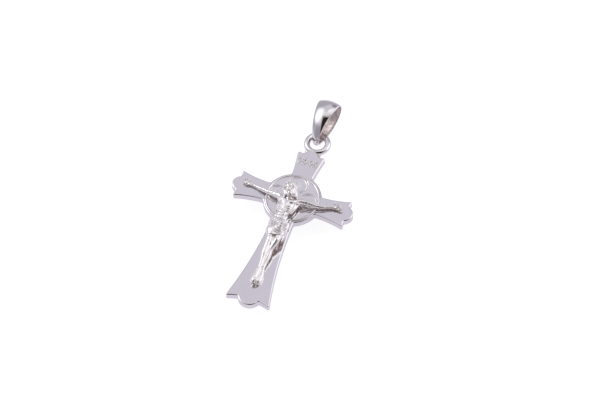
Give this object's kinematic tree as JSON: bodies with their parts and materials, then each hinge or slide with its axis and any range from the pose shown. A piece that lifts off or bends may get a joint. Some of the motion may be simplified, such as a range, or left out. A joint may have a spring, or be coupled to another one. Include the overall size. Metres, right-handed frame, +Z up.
{
  "type": "crucifix pendant",
  "caption": "Small polished silver crucifix pendant: flared cross with a round medal and a cast figure, a soldered ring, and a swinging tapered bail for a chain.",
  "frame": {"origin": "centre of the crossing (arms' axis meets the upright's) on the plate's flat back face", "axes": "+Z up the cross towards the bail, +X to the viewer's right, the front with the figure faces -Y, +Y out of the flat back"},
  "size_m": [0.0212, 0.0055, 0.0411],
  "materials": {
    "cross_plate": "bright polished silver",
    "medal_disc": "bright polished silver",
    "titulus_ornament": "bright polished silver",
    "corpus": "bright polished silver",
    "right_hand_nail": "bright polished silver",
    "left_hand_nail": "bright polished silver",
    "foot_nail": "bright polished silver",
    "suspension_ring": "bright polished silver",
    "ring_solder": "smooth silver solder",
    "bail": "bright polished silver",
    "bail_solder_seam": "smooth silver solder"
  },
  "bodies": {
    "cross": {"cross_plate": "cross_plate", "medal_disc": "medal_disc", "titulus_ornament": "titulus_ornament", "corpus": "corpus", "right_hand_nail": "right_hand_nail", "left_hand_nail": "left_hand_nail", "foot_nail": "foot_nail", "suspension_ring": "suspension_ring", "ring_solder": "ring_solder"},
    "bail": {"bail": "bail", "bail_solder_seam": "bail_solder_seam"}
  },
  "joints": [
    {"name": "bail_swing", "type": "hinge", "parent": "cross", "child": "bail", "pos_m": [0, -0.0006, 0.01349], "axis": [1, 0, 0], "range_deg": [-125, 40]}
  ]
}
